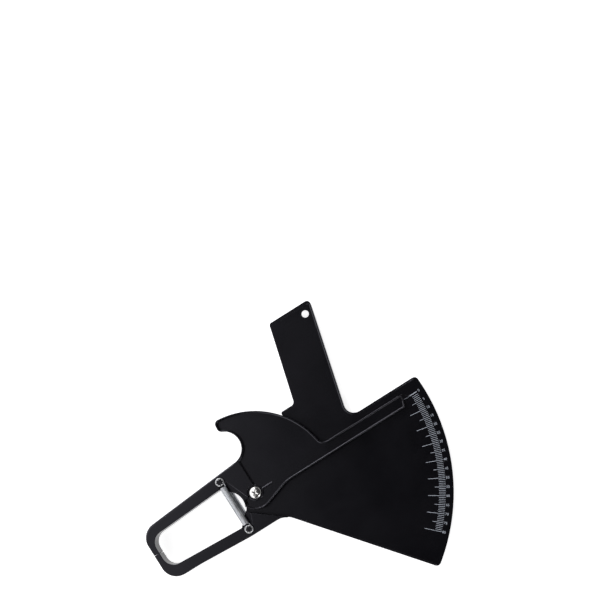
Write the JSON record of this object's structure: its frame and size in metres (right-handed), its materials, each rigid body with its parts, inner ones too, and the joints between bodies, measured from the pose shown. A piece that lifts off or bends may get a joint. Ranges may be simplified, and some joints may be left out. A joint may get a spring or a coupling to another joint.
{
  "type": "skinfold caliper",
  "caption": "Hand-held skinfold caliper: spring-closed jaw arms, finger-hook lever, grip with hanging hole, and a pointer that reads a printed sector scale.",
  "frame": {"origin": "middle of the underside of the bounding box, level with the ends of the two back spring posts", "axes": "+X from the jaws towards the scale, +Y towards the hand grip, +Z out of the front with the printed scale"},
  "size_m": [0.2904, 0.2712, 0.0242],
  "materials": {
    "black_plastic": "black injection moulding, semi-gloss",
    "spring_steel": "bright zinc-plated",
    "nickel": "bright nickel-plated"
  },
  "bodies": {
    "scale": {"scale_body": "black_plastic", "pivot_screw": "nickel", "pivot_nut": "nickel", "front_lower_ring": "spring_steel", "back_lower_ring": "spring_steel"},
    "lever": {"trigger_lever": "black_plastic", "front_upper_ring": "spring_steel", "back_upper_ring": "spring_steel"},
    "front_coil": {"front_spring": "spring_steel"},
    "front_hook": {"front_spring_hook": "spring_steel"},
    "back_coil": {"back_spring": "spring_steel"},
    "back_hook": {"back_spring_hook": "spring_steel"}
  },
  "joints": [
    {"name": "lever_swing", "type": "hinge", "parent": "scale", "child": "lever", "pos_m": [-0.03658, 0.01062, 0.0121], "axis": [0, 0, -1], "range_deg": [0, 44.5], "stiffness_Nm_per_rad": 0.25, "springref_deg": -143.24},
    {"name": "front_coil_lean", "type": "hinge", "parent": "scale", "child": "front_coil", "pos_m": [-0.05849, -0.01458, 0.0207], "axis": [0, 0, -1], "range_deg": [0, 22.3]},
    {"name": "front_coil_stretch", "type": "slide", "parent": "front_coil", "child": "front_hook", "axis": [0, 1, 0], "range_m": [0, 0.01365], "deforming": ["front_spring"]},
    {"name": "back_coil_lean", "type": "hinge", "parent": "scale", "child": "back_coil", "pos_m": [-0.05849, -0.01458, 0.0035], "axis": [0, 0, -1], "range_deg": [0, 22.3]},
    {"name": "back_coil_stretch", "type": "slide", "parent": "back_coil", "child": "back_hook", "axis": [0, 1, 0], "range_m": [0, 0.01365], "deforming": ["back_spring"]}
  ],
  "couplings": [
    {"joint": "front_coil_lean", "follows": "lever_swing", "ratio": 0.5},
    {"joint": "front_coil_stretch", "follows": "lever_swing", "m_per_rad": 0.0175},
    {"joint": "back_coil_lean", "follows": "lever_swing", "ratio": 0.5},
    {"joint": "back_coil_stretch", "follows": "lever_swing", "m_per_rad": 0.0175}
  ]
}
